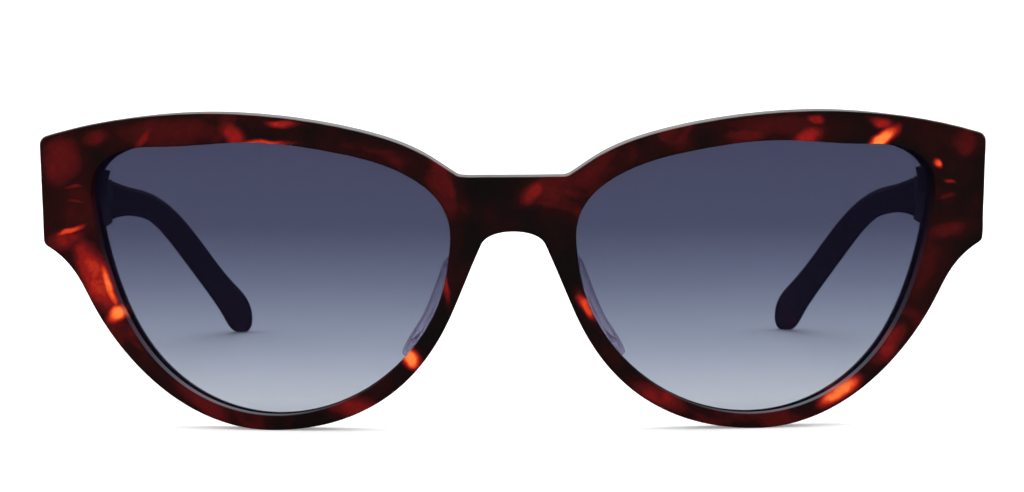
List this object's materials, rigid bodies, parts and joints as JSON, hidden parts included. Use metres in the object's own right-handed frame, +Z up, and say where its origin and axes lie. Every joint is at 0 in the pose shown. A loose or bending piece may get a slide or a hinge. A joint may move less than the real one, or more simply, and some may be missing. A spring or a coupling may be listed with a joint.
{
  "type": "cat eye sunglasses",
  "caption": "Cat eye sunglasses: curved acetate front, tinted lenses, glued nose pads and folding temples on screwed hinges.",
  "frame": {"origin": "on the surface the open glasses stand on, in the mirror plane, halfway between the bridge and the temple tips", "axes": "+X towards the wearer's left, -Y the way the wearer looks, +Z up; temples open at rest"},
  "size_m": [0.1444, 0.15, 0.048],
  "materials": {
    "front_acetate": "polished dark tortoiseshell acetate",
    "temple_acetate": "polished dark tortoiseshell acetate",
    "pad_acetate": "polished translucent brown acetate",
    "lens": "grey gradient tint, darker at the top",
    "hinge_metal": "plain nickel silver",
    "screw_metal": "bright steel",
    "core_metal": "drawn wire",
    "plaque_metal": "polished gold-coloured metal"
  },
  "bodies": {
    "front": {"front_frame": "front_acetate", "lens_left": "lens", "lens_right": "lens", "nose_pad_left": "pad_acetate", "nose_pad_right": "pad_acetate", "front_hinge_left": "hinge_metal", "front_hinge_right": "hinge_metal", "hinge_screw_left": "screw_metal", "hinge_screw_right": "screw_metal", "side_plaque_right": "plaque_metal"},
    "left_temple": {"temple_left": "temple_acetate", "temple_hinge_left": "hinge_metal", "temple_core_left": "core_metal"},
    "right_temple": {"temple_right": "temple_acetate", "temple_hinge_right": "hinge_metal", "temple_core_right": "core_metal"}
  },
  "joints": [
    {"name": "left_temple_fold", "type": "hinge", "parent": "front", "child": "left_temple", "pos_m": [0.0637, -0.05795, 0.0342], "axis": [0, 0, 1], "range_deg": [0, 86]},
    {"name": "right_temple_fold", "type": "hinge", "parent": "front", "child": "right_temple", "pos_m": [-0.0637, -0.05795, 0.0342], "axis": [0, 0, -1], "range_deg": [0, 80]}
  ]
}
